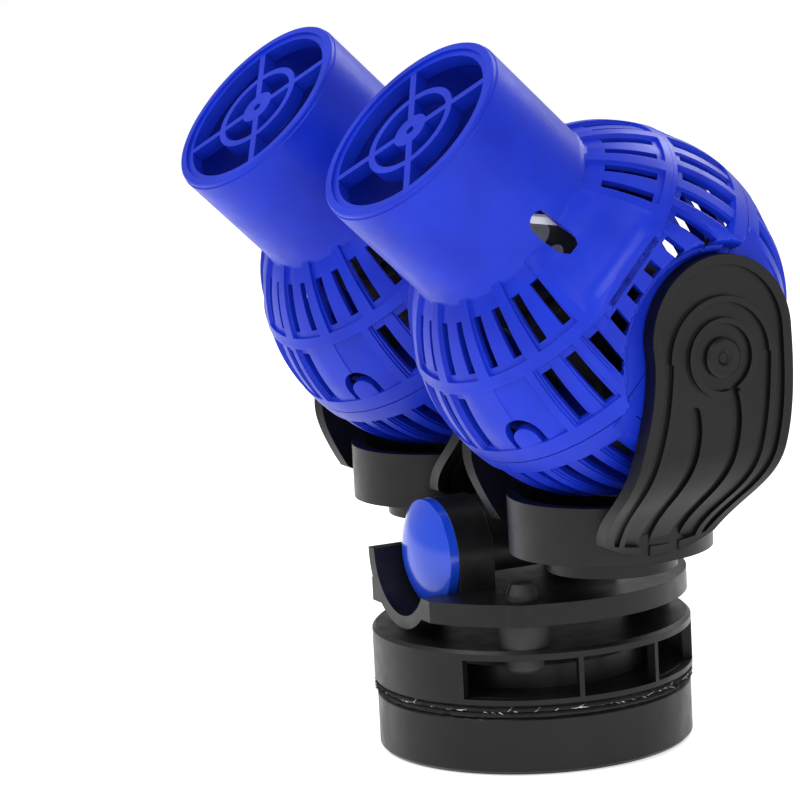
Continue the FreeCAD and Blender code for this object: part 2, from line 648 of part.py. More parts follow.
def front_cage_shape():
    band = Part.makeCylinder(60, size("ring_one_width"), Vector(0, 0, size("ring_one - ring_one_width")))
    shell = OUTSIDE.cut(HOLLOW).common(FRONT_HALF)
    tools = front_slots(size("ring_one - ring_one_width")) + shoulder_slots() + nozzle_slots()
    bore = Part.makeCylinder(size("nozzle_radius - nozzle_wall"), 40, Vector(0, 0, size("nozzle_base")))
    return shell.cut(Part.makeCompound([tool.cut(band) for tool in tools])).cut(bore)


def rear_cage_shape():
    shell = OUTSIDE.cut(HOLLOW).common(REAR_HALF)
    bosses = []
    for sign in (1, -1):
        start = Vector(sign * size("cage_flat"), 0, 0)
        bosses.append(Part.makeCylinder(size("stud_radius + 2"), 5, start, Vector(-sign, 0, 0)))
    shell = shell.fuse(bosses).cut(STUD_SOCKETS)
    shell = shell.cut(Part.makeCompound(rear_slots(-17.0, 6.4)))
    gland_hole = Part.makeCylinder(size("gland_radius + neck_fit"), 20, Vector(0, 0, size("rear_end - 5")))
    return shell.cut(gland_hole)


FRONT_CAGE = front_cage_shape()
REAR_CAGE = rear_cage_shape()


def motor_housing_shape(placed):
    """Sealed motor can with four webs to a ring that is clamped between the cage halves."""
    can = placed.Shape.copy()
    top = size("flange_front")
    thick = 2.0
    outer = head_solid(size("cage_wall + neck_fit")).common(
        Part.makeBox(200, 200, thick, Vector(-100, -100, top - thick)))
    ring_cut = Part.makeCylinder(sphere_radius_at(top, size("cage_wall")) - 2.2, thick * 3, Vector(0, 0, top - 2 * thick))
    ring_piece = outer.cut(ring_cut)
    webs = []
    for angle in (45, 135, 225, 315):
        web = Part.makeBox(30, 2.0, 10, Vector(size("motor_radius - 0.5"), -1.0, top - 10))
        web.rotate(Vector(), Vector(0, 0, 1), angle)
        webs.append(web.common(HOLLOW))
    return can.fuse([ring_piece] + webs).removeSplitter()


def grille_shape():
    """Outlet insert: rim, inner ring, hub and four spokes."""
    low = size("grille_rear")
    depth = size("grille_front - grille_rear")
    base = Vector(0, 0, low)
    outer = size("nozzle_radius - nozzle_wall")

    def ring(radius, width):
        return Part.makeCylinder(radius, depth, base).cut(Part.makeCylinder(radius - width, depth, base))

    pieces = [ring(size("grille_ring"), size("spoke_width")), Part.makeCylinder(size("grille_hub"), depth, base)]
    for angle in (45, 135, 225, 315):
        spoke = Part.makeBox(outer - 1, size("spoke_width"), depth, Vector(0.5, -size("spoke_width") / 2, low))
        spoke.rotate(Vector(), Vector(0, 0, 1), angle)
        pieces.append(spoke)
    joined = ring(outer, size("grille_rim")).fuse(pieces)
    return joined.cut(Part.makeCylinder(0.9, 20, Vector(0, 0, low - 5))).removeSplitter()


BLADES = 4
BLADE_THICK = 1.4
BLADE_PITCH = 34.0


def impeller_shape():
    """Hub with a rounded nose and pitched blades."""
    low = size("hub_rear")
    length = size("hub_front - hub_rear")
    radius = size("hub_radius")
    nose = radius - 1.5
    tip = Vector(size("shaft_radius") + 0.8, 0, low + length + nose)
    rim = Vector(radius, 0, low + length)
    bend = Vector(radius - 1.0, 0, low + length + 0.6 * nose)
    edges = [
        line(Vector(0, 0, low), Vector(radius, 0, low)), line(Vector(radius, 0, low), rim),
        Part.Arc(rim, bend, tip).toShape(), line(tip, Vector(0, 0, low + length + nose)),
        line(Vector(0, 0, low + length + nose), Vector(0, 0, low)),
    ]
    hub = Part.Face(Part.Wire(edges)).revolve(Vector(), Vector(0, 0, 1), 360)
    envelope = Part.makeCylinder(size("blade_radius"), length - 3.0, Vector(0, 0, low + 3.0))
    blades = []
    for step in range(BLADES):
        paddle = Part.makeBox(size("blade_radius"), BLADE_THICK, 40, Vector(radius - 1.5, -BLADE_THICK / 2, -20))
        paddle.rotate(Vector(), Vector(1, 0, 0), BLADE_PITCH)
        paddle.translate(Vector(0, 0, low + 3.0 + (length - 3.0) / 2))
        paddle.rotate(Vector(), Vector(0, 0, 1), step * 360 / BLADES)
        blades.append(paddle.common(envelope))
    bore = Part.makeCylinder(size("shaft_radius"), 60, Vector(0, 0, 0))
    return hub.fuse(blades).cut(bore)


GRILLE = grille_shape()
IMPELLER = impeller_shape()

for side, sign in SIDES.items():
    place = head_placement(sign)
    feature(f"{side}_front_cage", FRONT_CAGE, place)
    feature(f"{side}_rear_cage", REAR_CAGE, place)
    feature(f"{side}_outlet_grille", GRILLE, place)
    feature(f"{side}_impeller", IMPELLER, place)
    can = lathe(f"{side}_motor_can", [
        ("motor_radius", "motor_rear"), ("motor_radius", "motor_front"), ("well_radius", "motor_front"),
        ("well_radius", "well_bottom"), ("0", "well_bottom"), ("0", "well_bottom - motor_wall"),
        ("well_radius + motor_wall", "well_bottom - motor_wall"),
        ("well_radius + motor_wall", "motor_front - motor_wall"),
        ("motor_radius - motor_wall", "motor_front - motor_wall"), ("motor_radius - motor_wall", "motor_rear"),
    ])
    doc.recompute()
    feature(f"{side}_motor_housing", motor_housing_shape(can), place)
    keep(lathe(f"{side}_motor_end_cap", [
        ("gland_radius", "end_cap_rear"), ("motor_radius", "end_cap_rear"), ("motor_radius", "motor_rear"),
        ("motor_radius - motor_wall", "motor_rear"), ("motor_radius - motor_wall", "motor_rear + 2.5"),
        ("gland_radius", "motor_rear + 2.5"),
    ], place), f"{side}_motor_end_cap")
    keep(lathe(f"{side}_stator_core", tube(
        "well_radius + motor_wall", "motor_radius - motor_wall", "0 - 2", "14"), place), f"{side}_stator_core")
    for coil, low, high in (("rear", "0 - 9", "0 - 2.2"), ("front", "14.2", "21.5")):
        keep(lathe(f"{side}_{coil}_coil", tube(
            "well_radius + motor_wall + 0.3", "motor_radius - motor_wall - 0.4", low, high), place),
            f"{side}_{coil}_coil")
    keep(lathe(f"{side}_rotor_cover", [
        ("4.0", "motor_front - 2.5"), ("well_radius", "motor_front - 2.5"), ("well_radius", "motor_front"),
        ("well_radius + 3.2", "motor_front"), ("well_radius + 3.2", "motor_front + 1.6"), ("4.0", "motor_front + 1.6"),
    ], place), f"{side}_rotor_cover")
    keep(lathe(f"{side}_front_bearing", tube(
        "shaft_radius + running_fit", "4.0", "motor_front - 2.5", "motor_front + 1.6"), place),
        f"{side}_front_bearing")
    keep(lathe(f"{side}_rear_bearing", tube(
        "shaft_radius + running_fit", "well_radius", "well_bottom", "well_bottom + 4"), place),
        f"{side}_rear_bearing")
    keep(lathe(f"{side}_rotor_shaft", disc("shaft_radius", "well_bottom + 0.4", "shaft_end"), place),
         f"{side}_rotor_shaft")
    keep(lathe(f"{side}_rotor_magnet", tube("shaft_radius", "rotor_radius", "rotor_rear", "rotor_front"), place),
         f"{side}_rotor_magnet")
    keep(lathe(f"{side}_cable_gland", [
        ("0", "motor_rear + 1"), ("gland_radius", "motor_rear + 1"), ("gland_radius", "rear_end"),
        ("gland_flange", "rear_end"), ("gland_flange", "rear_end - 2"), ("gland_radius + 0.6", "rear_end - 2.6"),
        ("gland_radius", "gland_end"), ("lead_radius", "gland_end"), ("lead_radius", "gland_end + 6"),
        ("0", "gland_end + 6"),
    ], place), f"{side}_cable_gland")

doc.recompute()

for thing in doc.Objects:
    if "Invalid" in thing.State or "Error" in thing.State:
        raise RuntimeError(f"{thing.Name} failed to recompute: {thing.State}")

os.makedirs("parts", exist_ok=True)
for thing in SUB_PARTS:
    shape = thing.Shape
    if shape.isNull() or not shape.isValid() or not shape.Solids:
        raise RuntimeError(f"{thing.Label} has no valid solid")
    shape.exportStep(os.path.join("parts", thing.Label + ".step"))
    print(f"{thing.Label}: {len(shape.Solids)} solid(s), {shape.Volume:.0f} mm3")
print(len(SUB_PARTS), "nodes")
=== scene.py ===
"""Twin-head aquarium wave maker pump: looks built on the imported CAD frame.

Meshes are worked out in mm, and mesh_object() turns them into metres. Camera, floor and lights are in
metres. Angles are in degrees.
"""
import json
import math
import random

import bpy
from mathutils import Matrix, Vector


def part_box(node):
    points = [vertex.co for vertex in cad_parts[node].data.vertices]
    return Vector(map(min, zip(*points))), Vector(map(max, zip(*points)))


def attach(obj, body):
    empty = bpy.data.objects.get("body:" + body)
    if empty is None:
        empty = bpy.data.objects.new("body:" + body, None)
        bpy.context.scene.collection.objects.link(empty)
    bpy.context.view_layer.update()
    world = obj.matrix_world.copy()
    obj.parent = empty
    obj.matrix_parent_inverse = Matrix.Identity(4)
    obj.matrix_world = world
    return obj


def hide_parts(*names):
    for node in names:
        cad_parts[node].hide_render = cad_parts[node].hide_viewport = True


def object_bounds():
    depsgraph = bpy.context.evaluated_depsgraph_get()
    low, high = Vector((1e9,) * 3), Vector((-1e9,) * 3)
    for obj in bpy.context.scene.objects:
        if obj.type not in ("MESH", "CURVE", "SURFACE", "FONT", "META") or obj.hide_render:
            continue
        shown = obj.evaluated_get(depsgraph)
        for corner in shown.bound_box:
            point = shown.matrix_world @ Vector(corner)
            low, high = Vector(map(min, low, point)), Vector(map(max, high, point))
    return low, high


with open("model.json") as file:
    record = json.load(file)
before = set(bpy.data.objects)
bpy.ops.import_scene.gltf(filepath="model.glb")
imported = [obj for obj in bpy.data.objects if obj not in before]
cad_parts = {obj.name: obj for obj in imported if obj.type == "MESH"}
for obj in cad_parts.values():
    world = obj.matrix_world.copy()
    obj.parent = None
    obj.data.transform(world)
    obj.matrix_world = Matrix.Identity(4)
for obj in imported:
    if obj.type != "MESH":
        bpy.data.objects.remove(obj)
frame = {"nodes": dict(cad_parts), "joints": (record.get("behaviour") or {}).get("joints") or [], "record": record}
cad_box = [list(corner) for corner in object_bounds()]
MM = 0.001
SIDES = ("right", "left")
JOINTS = {joint["name"]: joint for joint in frame["joints"]}


# ---- materials ----

def new_material(name):
    material = bpy.data.materials.new(name)
    material.use_nodes = True
    return material, material.node_tree.nodes, material.node_tree.links


def noise(nodes, links, coords, scale, detail=2.0):
    node = nodes.new("ShaderNodeTexNoise")
    node.inputs["Scale"].default_value = scale
    node.inputs["Detail"].default_value = detail
    links.new(coords, node.inputs["Vector"])
    return node.outputs["Fac"]


def ramp(nodes, links, source, low, high, from_low=0.3, from_high=0.7):
    node = nodes.new("ShaderNodeMapRange")
    node.inputs["From Min"].default_value = from_low
    node.inputs["From Max"].default_value = from_high
    node.inputs["To Min"].default_value = low
    node.inputs["To Max"].default_value = high
    links.new(source, node.inputs["Value"])
    return node.outputs["Result"]


def blend_colours(nodes, links, factor, first, second):
    node = nodes.new("ShaderNodeMix")
    node.data_type = "RGBA"
    links.new(factor, node.inputs["Factor"])
    for slot, value in ((6, first), (7, second)):
        if isinstance(value, tuple):
            node.inputs[slot].default_value = (*value, 1)
        else:
            links.new(value, node.inputs[slot])
    return node.outputs[2]


EDGE_ROUND = 0.2


def moulding(name, deep, light, rough, grain, depth, metallic=0.0, coat=0.0, shine=0.5):
    """Moulded or machined surface: cloudy colour, fine grain, rounded edges that are a little worn."""
    material, nodes, links = new_material(name)
    shader = nodes["Principled BSDF"]
    coords = nodes.new("ShaderNodeTexCoord").outputs["Object"]
    cloud = noise(nodes, links, coords, 70, 3)
    colour = blend_colours(nodes, links, ramp(nodes, links, cloud, 0, 1), deep, light)
    rounded = nodes.new("ShaderNodeBevel")
    rounded.samples = 4
    rounded.inputs["Radius"].default_value = EDGE_ROUND * MM
    geometry = nodes.new("ShaderNodeNewGeometry")
    dot = nodes.new("ShaderNodeVectorMath")
    dot.operation = "DOT_PRODUCT"
    links.new(rounded.outputs["Normal"], dot.inputs[0])
    links.new(geometry.outputs["Normal"], dot.inputs[1])
    edges = ramp(nodes, links, dot.outputs["Value"], 0.55, 0.0, 0.75, 0.99)
    scuffs = nodes.new("ShaderNodeMath")
    scuffs.operation = "MULTIPLY"
    links.new(edges, scuffs.inputs[0])
    links.new(noise(nodes, links, coords, 900, 4), scuffs.inputs[1])
    pale = tuple(min(1.0, value * 1.6 + 0.008) for value in light)
    links.new(blend_colours(nodes, links, scuffs.outputs[0], colour, pale), shader.inputs["Base Color"])
    links.new(ramp(nodes, links, noise(nodes, links, coords, 260, 3), rough - 0.05, rough + 0.06),
              shader.inputs["Roughness"])
    bump = nodes.new("ShaderNodeBump")
    bump.inputs["Strength"].default_value = 0.6
    bump.inputs["Distance"].default_value = depth * MM
    links.new(noise(nodes, links, coords, 1000 / grain, 2), bump.inputs["Height"])
    links.new(rounded.outputs["Normal"], bump.inputs["Normal"])
    links.new(bump.outputs["Normal"], shader.inputs["Normal"])
    shader.inputs["Metallic"].default_value = metallic
    shader.inputs["Specular IOR Level"].default_value = shine
    shader.inputs["Coat Weight"].default_value = coat
    shader.inputs["Coat Roughness"].default_value = 0.12
    return material


MATERIALS = {
    "blue_plastic": moulding("satin_blue", (0.004, 0.020, 0.42), (0.007, 0.032, 0.56), 0.38, 0.28, 0.012,
                             shine=0.2),
    "blue_gloss": moulding("glossy_blue", (0.006, 0.045, 0.50), (0.010, 0.065, 0.62), 0.22, 0.9, 0.006,
                           coat=0.3, shine=0.4),
    "black_plastic": moulding("grained_black", (0.003, 0.003, 0.0033), (0.006, 0.006, 0.0066), 0.38, 0.22,
                              0.018, shine=0.28),
    "black_rubber": moulding("black_rubber", (0.010, 0.010, 0.011), (0.020, 0.020, 0.021), 0.62, 0.3, 0.02),
    "white_plastic": moulding("white_moulding", (0.62, 0.63, 0.66), (0.78, 0.79, 0.81), 0.34, 0.4, 0.008),
    "steel": moulding("stainless", (0.45, 0.45, 0.46), (0.60, 0.60, 0.62), 0.26, 0.12, 0.006, metallic=1.0),
    "copper": moulding("copper_winding", (0.50, 0.20, 0.08), (0.72, 0.34, 0.15), 0.3, 0.35, 0.05,
                       metallic=1.0),
    "ceramic": moulding("ceramic", (0.78, 0.77, 0.73), (0.88, 0.87, 0.84), 0.2, 0.5, 0.004),
    "magnet": moulding("ferrite", (0.05, 0.05, 0.052), (0.09, 0.09, 0.093), 0.55, 0.3, 0.02, metallic=0.3),
    "grip_pad": moulding("felt_black", (0.004, 0.004, 0.004), (0.012, 0.012, 0.012), 0.9, 0.25, 0.12),
}
# Pale colour for the flecks along the pads' seam: painted glint, white colour standing in for reflections off the
# hook-and-loop; the coat adds real gloss as well.
GLINT = moulding("pad_glint", (0.70, 0.70, 0.72), (0.92, 0.92, 0.94), 0.12, 0.4, 0.01, coat=0.6)
SLOT_OF = {part["node"]: part["material_slot"] for part in frame["record"]["subparts"]}


def dress(thing, slot):
    thing.data.materials.clear()
    thing.data.materials.append(MATERIALS[slot])


for node, thing in frame["nodes"].items():
    dress(thing, SLOT_OF[node])


# ---- meshes ----

def mesh_object(name, points, faces, slot, body, place=Matrix.Identity(4), smooth_angle=38, bevel=0.0):
    """A mesh from points in mm, put in place in the row frame and set to ride on a body."""
    mesh = bpy.data.meshes.new(name)
    mesh.from_pydata([place @ (Vector(p) * MM) for p in points], [], faces)
    mesh.validate()
    thing = bpy.data.objects.new(name, mesh)
    bpy.context.scene.collection.objects.link(thing)
    bpy.context.view_layer.objects.active = thing
    thing.select_set(True)
    bpy.ops.object.mode_set(mode="EDIT")
    bpy.ops.mesh.select_all(action="SELECT")
    bpy.ops.mesh.normals_make_consistent(inside=False)
    bpy.ops.object.mode_set(mode="OBJECT")
    bpy.ops.object.shade_smooth_by_angle(angle=math.radians(smooth_angle))
    thing.select_set(False)
    if bevel:
        soft = thing.modifiers.new("soft_edges", "BEVEL")
        soft.width = bevel * MM
        soft.segments = 2
        soft.limit_method = "ANGLE"
        soft.angle_limit = math.radians(32)
    thing.data.materials.append(MATERIALS[slot])
    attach(thing, body)
    return thing


def shell(rows, columns, lift, hole, shape):
    """Closed shell round the head's axis.

    rows hold (outer d, outer r, inner d, inner r, normal d, normal r). columns give an angle for a row, lift
    gives the outside's height, and hole says which cells are open.
    """
    tall, wide = len(rows), len(columns)
    points = []
    for i, (outer_d, outer_r, inner_d, inner_r, nd, nr) in enumerate(rows):
        for j, column in enumerate(columns):
            angle = math.radians(column(outer_d, outer_r))
            rise = lift(outer_d, math.degrees(angle), i, j)
            for d, r, inset in ((outer_d + nd * rise, outer_r + nr * rise, 0.0), (inner_d, inner_r, WALL)):
                points.append(shape((r * math.cos(angle), r * math.sin(angle), d), inset))

    for row in rows:
        angles = [column(row[0], row[1]) for column in columns]
        assert all(second > first for first, second in zip(angles, angles[1:] + [angles[0] + 360])), row

    def at(i, j, inner):
        return 2 * (i * wide + j % wide) + inner

    solid = [[not hole(i, j) for j in range(wide)] for i in range(tall - 1)]
    faces = []
    for i in range(tall - 1):
        for j in range(wide):
            if not solid[i][j]:
                continue
            faces.append((at(i, j, 0), at(i, j + 1, 0), at(i + 1, j + 1, 0), at(i + 1, j, 0)))
            faces.append((at(i, j, 1), at(i + 1, j, 1), at(i + 1, j + 1, 1), at(i, j + 1, 1)))
            if i == 0 or not solid[i - 1][j]:
                faces.append((at(i, j, 0), at(i, j, 1), at(i, j + 1, 1), at(i, j + 1, 0)))
            if i == tall - 2 or not solid[i + 1][j]:
                faces.append((at(i + 1, j, 0), at(i + 1, j + 1, 0), at(i + 1, j + 1, 1), at(i + 1, j, 1)))
            if not solid[i][(j - 1) % wide]:
                faces.append((at(i, j, 0), at(i + 1, j, 0), at(i + 1, j, 1), at(i, j, 1)))
            if not solid[i][(j + 1) % wide]:
                faces.append((at(i, j + 1, 0), at(i, j + 1, 1), at(i + 1, j + 1, 1), at(i + 1, j + 1, 0)))
    used = sorted({index for face in faces for index in face})
    renumber = {old: new for new, old in enumerate(used)}
    return [points[index] for index in used], [tuple(renumber[index] for index in face) for face in faces]


def merge(*parts):
    points, faces = [], []
    for part_points, part_faces in parts:
        base = len(points)
        points += part_points
        faces += [tuple(index + base for index in face) for face in part_faces]
    return points, faces


# ---- pump head cages ----

# Depths run along the head's axis from the tilt axis, towards the nozzle. Radii run out from that axis.
BALL = 37.0
CENTRE = 10.3
WALL = 2.0
NOZZLE = 21.25
BORE = 19.35
FRONT = 66.8
BASE = 40.6
SHOULDER = 29.0
RING_LOW = 26.8
SEAM = 10.1
REAR = -24.0
SIDE = 31.5
FLAT = 28.2
LOW = -0.75
RECESS = 20.6
RECESS_MARGIN = 1.9
RECESS_OPEN = 9.0
LATCHES = (-66.0, 114.0)
LATCH_CLEAR = 15
LATCH_PANEL = 5.6
BELT_SLOTS = 36
STEP = 360 / BELT_SLOTS
BAND_TOP = 13.6
LONG_HALF = 1.3
BAR_HALF = 1.4
LONG_SLOT = (14.0, 25.6)
REAR_SLOT = (-17.0, 5.6)
REAR_SLOT_FROM_SIDE = 40
GLAND_HOLE = 3.2


def from_side(angle):
    turned = abs((angle + 180) % 180)
    return min(turned, 180 - turned)


def from_latch(angle):
    """Signed angle from the nearer latch."""
    return min(((angle - latch + 180) % 360 - 180 for latch in LATCHES), key=abs)


def flatten(point, inset):
    """Draws the ball's sides in to the flats that the yoke's arms run beside."""
    x, y, d = point
    outside = min(math.hypot(y, d) - RECESS + inset, d - RECESS_OPEN - inset)
    share = max(0.0, min(1.0, outside / RECESS_MARGIN))
    limit = FLAT + (SIDE - FLAT) * share * share * (3 - 2 * share) - inset
    return (max(-limit, min(limit, x)), y, d)


def ball_row(d):
    outer = math.sqrt(BALL ** 2 - (d - CENTRE) ** 2)
    share = (BALL - WALL) / BALL
    return (d, outer, CENTRE + (d - CENTRE) * share, outer * share, (d - CENTRE) / BALL, outer / BALL)


def span(start, end, step):
    count = max(1, round(abs(end - start) / step))
    return [start + (end - start) * k / count for k in range(count + 1)]


def shoulder_rows():
    """From the nozzle's foot to the first ring, on the arc of the CAD profile."""
    foot = Vector((BASE, NOZZLE))
    hip = Vector((SHOULDER, math.sqrt(BALL ** 2 - (SHOULDER - CENTRE) ** 2)))
    rows = []
    for t in (0.012, 0.06, 0.14, 0.22, 0.27, 0.36, 0.46, 0.56, 0.66, 0.76, 0.84, 0.91, 0.97, 0.99):
        bow = 4 * t * (1 - t) * 0.6
        point = foot.lerp(hip, t) + Vector((bow, bow))
        along = (hip - foot).normalized()
        normal = Vector((-along.y, along.x))
        if normal.y < 0:
            normal = -normal
        inner = point - normal * WALL
        rows.append((point.x, point.y, inner.x, inner.y, normal.x, normal.y))
    return rows


BAY_START = 23.0
BAYS = 6
BAY = (180 - 2 * BAY_START) / BAYS
HOLE_D = (36.6, 45.6)
HOLE_HALF = 2.3
HOLE_TURN = 6.0
SLOT_HALF = 1.05
SLOT_SHIFT = 5.5
SLOT_D = (30.2, 37.6)
SCOOP_DEPTH = 1.35
RIB_HALF = 2.6


def capsule_half(d):
    """Half width in mm of the round-ended opening low in the nozzle's wall."""
    low, high = HOLE_D
    reach = min(d - low, high - d)
    if reach <= 0:
        return 0.0
    if reach >= HOLE_HALF:
        return HOLE_HALF
    return math.sqrt(HOLE_HALF ** 2 - (HOLE_HALF - reach) ** 2)


def front_upper():
    """Nozzle, side scoops and the ribbed shoulder down to the first ring."""
    rows = []
    for d, r in ((FRONT, 20.55), (FRONT, 20.75), (66.5, 21.0), (65.75, 21.0), (65.65, NOZZLE)):
        rows.append((d, r, d, BORE, 0.0, 1.0))
    capsule = span(HOLE_D[1], HOLE_D[1] - HOLE_HALF, 0.4) + span(HOLE_D[1] - HOLE_HALF - 0.5, BASE + 0.3, 1.0)
    rows += [(d, NOZZLE, d, BORE, 0.0, 1.0) for d in span(64, 46.5, 2.5) + capsule]
    rows += shoulder_rows()
    rows += [ball_row(d) for d in (SHOULDER, 28.2, 27.4, RING_LOW + 0.05, RING_LOW - 0.05, 26.3)]
    columns, kinds = [], []

    def add(angle, kind):
        columns.append(angle if callable(angle) else (lambda d, r, angle=angle: angle))
        kinds.append(kind)

    for turn in (0, 180):
        # the opening sits below the tilt axis on both sides, so it is mirrored on the second one
        opening = turn - HOLE_TURN if turn == 0 else turn + HOLE_TURN
        scoop = [turn + a for a in (-21.6, -19, -16.5)]
        for a in scoop:
            add(a, "scoop")
        if not turn:
            add(turn - 14, "scoop")
        else:
            for a in (-14, -11, -8, -5, -2):
                add(turn + a, "scoop")
        for edge in (-1, -0.5, 0.5, 1):
            def capsule_edge(d, r, opening=opening, edge=edge):
                half = max(capsule_half(d), 0.45)
                return opening + edge * math.degrees(math.asin(half / max(r, NOZZLE)))
            add(capsule_edge, "hole" if edge < 1 else "scoop")
        if not turn:
            for a in (3, 6, 9, 12):
                add(turn + a, "scoop")
        add(turn + 14, "scoop")
        for a in (16.5, 19, 21.6):
            add(turn + a, "scoop")
        for bay in range(BAYS + 1):
            rib = turn + BAY_START + bay * BAY
            before = 0.9 if bay == 0 else RIB_HALF
            after = 0.9 if bay == BAYS else RIB_HALF
            middle = (after - before) / 2
            first = "rib" if bay == 0 else "low"
            last = "rib" if bay == BAYS else "low"
            for a, kind in ((-before - 0.4, first), (-before, "rib"), (middle, "rib"), (after, "rib"),
                            (after + 0.4, last)):
                add(rib + a, kind)
            if bay < BAYS:
                centre = rib + BAY / 2
                for shift, edge, kind in ((-1, -1, "slot"), (-1, 0, "slot"), (-1, 1, "bar"), (0, 0, "bar"),
                                          (1, -1, "slot"), (1, 0, "slot"), (1, 1, "low")):
                    def slot_edge(d, r, middle=centre + shift * SLOT_SHIFT, edge=edge):
                        return middle + edge * math.degrees(SLOT_HALF / max(r, 25.0))
                    add(slot_edge, kind)

    def lift(d, angle, i, j):
        if d > BASE - 0.3:
            return 0.0
        if d <= SHOULDER + 0.05:
            return 0.0 if d >= RING_LOW else LOW
        kind = kinds[j]
        if kind == "rib":
            return 0.0
        if kind in ("scoop", "hole"):
            away = from_side(angle) / BAY_START
            along = min(1.0, (BASE - d) / 3.5) * min(1.0, (d - SHOULDER) / 2.0)
            return -SCOOP_DEPTH * along * (0.5 + 0.5 * math.cos(math.pi * min(1.0, away) ** 2.2))
        if kind == "bar":
            return LOW + 0.12
        return LOW

    def hole(i, j):
        d = (rows[i][0] + rows[i + 1][0]) / 2
        if kinds[j] == "hole":
            return HOLE_D[0] < d < HOLE_D[1]
        return kinds[j] == "slot" and SLOT_D[0] < d < SLOT_D[1]

    return shell(rows, columns, lift, hole, flatten)


ARCH = {"outer": (4.3, 20.0), "inner": (2.7, 17.8)}


def arch_half(name, d):
    """Half width of the latch's arch at a depth: straight sides under a round top."""
    half, top = ARCH[name]
    rise = d - (top - half)
    if rise <= 0:
        return half
    return math.sqrt(max(0.0, half ** 2 - rise ** 2))


def belt_columns(latch_open):
    """Columns for the slots. Each bar has its own step or raised rib. In front, each latch has an arch."""
    columns, kinds, centres = [], [], []

    def add(base, kind, centre, width):
        columns.append(lambda d, r: base + math.degrees(width(d, r) / r))
        kinds.append(kind)
        centres.append(centre)

    def slot_offset(offset):
        return lambda d, r: offset * min(1.0, r / 24)

    def bar_offset(offset):
        """Bars get narrower where the ball does, so that they stay between their slots."""
        def width(d, r):
            room = math.radians(STEP / 2) * r - LONG_HALF * min(1.0, r / 24) - 0.1
            return offset * min(1.0, room / BAR_HALF)

        return width

    def latch_offset(turn, least, name=None):
        return lambda d, r: turn * max(least, arch_half(name, d) if name else 0.0) * min(1.0, r / 34)

    for step in range(BELT_SLOTS):
        bar = step * STEP
        centre = bar + STEP / 2
        bar_away, slot_away = [abs(from_latch(a)) if latch_open else 90.0 for a in (bar, centre)]
        if bar_away > LATCH_CLEAR:
            profile = ((-1.35, "low"), (-1.25, "flat"), (0.0, "flat"), (1.25, "flat"), (1.35, "low"))
            if step % 2:
                profile = ((-1.15, "low"), (-0.95, "high"), (0.0, "high"), (0.75, "high"),
                           (0.85, "mid"), (1.25, "mid"), (1.4, "low"))
            for offset, kind in profile:
                add(bar, kind, bar, bar_offset(offset))
        elif bar_away > STEP:
            add(bar, "panel", bar, bar_offset(0.0))
        if slot_away > LATCH_CLEAR:
            for share in (-1.0, -0.5, 0.0, 0.5, 1.0):
                add(centre, "slot" if share < 1 else "edge", centre, slot_offset(share * LONG_HALF))
        elif slot_away < 2:
            latch = centre - from_latch(centre)
            add(latch, "panel", latch, latch_offset(-1, LATCH_PANEL))
            add(latch, "gap", latch, latch_offset(-1, 0.35, "outer"))
            add(latch, "tongue", latch, latch_offset(-1, 0.2, "inner"))
            add(latch, "tongue", latch, latch_offset(0, 0.0))
            add(latch, "gap", latch, latch_offset(1, 0.2, "inner"))
            add(latch, "panel", latch, latch_offset(1, 0.35, "outer"))
            add(latch, "panel", latch, latch_offset(1, LATCH_PANEL))
    return columns, kinds, centres


HEIGHTS = {"low": LOW, "slot": LOW, "edge": LOW, "high": 0.0, "mid": -0.35, "flat": -0.4, "panel": -0.3,
           "gap": -0.3, "tongue": -0.05}


def ring_shell(rows_d, bands, slot_span, latch_open, rear_rows=()):
    """A belt of the ball between two depths, with raised bands at given depths and slots between others."""
    rows = [ball_row(d) for d in rows_d] + list(rear_rows)
    columns, kinds, centres = belt_columns(latch_open)

    def lift(d, angle, i, j):
        if i >= len(rows_d) or any(low <= d <= high for low, high in bands):
            return 0.0
        return HEIGHTS[kinds[j]]

    def hole(i, j):
        if i + 1 >= len(rows_d):
            return False
        d = (rows[i][0] + rows[i + 1][0]) / 2
        if kinds[j] == "gap":
            return BAND_TOP < d < ARCH["outer"][1]
        if kinds[j] == "tongue":
            return ARCH["inner"][1] < d < ARCH["outer"][1]
        if kinds[j] != "slot":
            return False
        limits = slot_span(centres[j])
        return limits is not None and limits[0] < d < limits[1]

    return shell(rows, columns, lift, hole, flatten)


def front_slot(centre):
    """Depths of a long front slot: near the sides it stops above the recess that the arm lies in."""
    if abs(from_latch(centre)) < LATCH_CLEAR:
        return None
    across = math.sqrt(BALL ** 2 - (BAND_TOP - CENTRE) ** 2) * math.sin(math.radians(from_side(centre)))
    low = math.sqrt(max(0.0, (RECESS + RECESS_MARGIN) ** 2 - across ** 2))
    return (max(LONG_SLOT[0], low), LONG_SLOT[1])


def rear_slot(centre):
    return REAR_SLOT if from_side(centre) > REAR_SLOT_FROM_SIDE else None


def front_lower():
    depths = [27.6, 27.0, RING_LOW + 0.05, RING_LOW - 0.05, 26.2, 25.6] + span(25.0, 20.5, 0.5)
    depths += [20.05, 19.95, 19.7, 19.3, 18.8, 18.3, 17.85, 17.75, 17.4]
    depths += [17.0, 16.5, 16.0, 15.5, 15.0, 14.5]
    depths += [14.0, 13.65, 13.55, 13.0, 12.4, 11.8, 11.2, 10.7, SEAM + 0.1]
    return ring_shell(depths, ((RING_LOW, 30.0), (SEAM, BAND_TOP)), front_slot, True)


